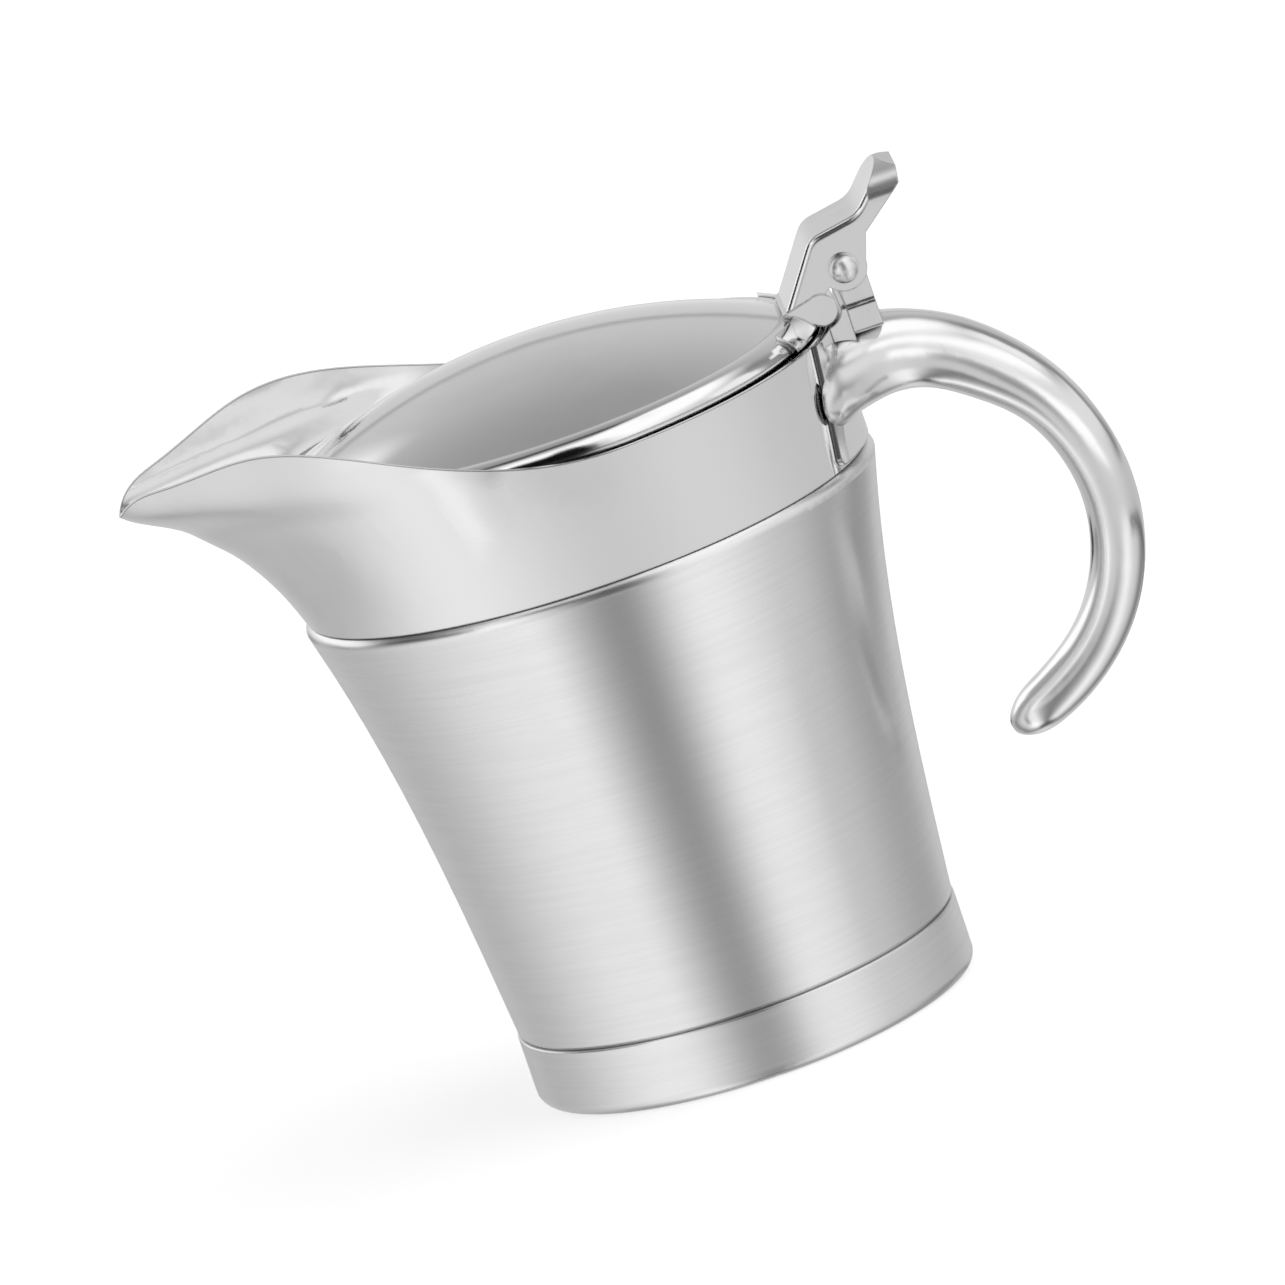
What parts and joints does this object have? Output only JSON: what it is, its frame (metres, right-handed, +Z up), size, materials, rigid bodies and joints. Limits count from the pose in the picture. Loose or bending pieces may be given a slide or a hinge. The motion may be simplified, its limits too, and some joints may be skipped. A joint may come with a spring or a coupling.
{
  "type": "insulated gravy boat",
  "caption": "Tall insulated steel gravy boat with a wide pouring spout, a domed hinged lid worked by a thumb lever, and an open curved handle behind.",
  "frame": {"origin": "middle of the base, on the plane that the boat stands on", "axes": "+Z up, the spout points to -X and the handle to +X, and the lid's hinge pin lies along Y"},
  "size_m": [0.1901, 0.117, 0.1577],
  "materials": {
    "satin_steel": "stainless steel, brushed to a satin sheen round the body",
    "polished_steel": "stainless steel, polished to a mirror"
  },
  "bodies": {
    "boat": {"base_cup": "satin_steel", "outer_shell": "satin_steel", "inner_liner": "satin_steel", "spout_collar": "polished_steel", "handle_saddle": "polished_steel", "handle": "polished_steel", "hinge_post": "polished_steel"},
    "lid": {"lid": "polished_steel", "lid_bracket": "polished_steel", "thumb_lever": "polished_steel", "hinge_pin": "polished_steel", "pin_cap": "polished_steel"}
  },
  "joints": [
    {"name": "lid_hinge", "type": "hinge", "parent": "boat", "child": "lid", "pos_m": [0.0634, 0, 0.1408], "axis": [0, 1, 0], "range_deg": [0, 70]}
  ]
}
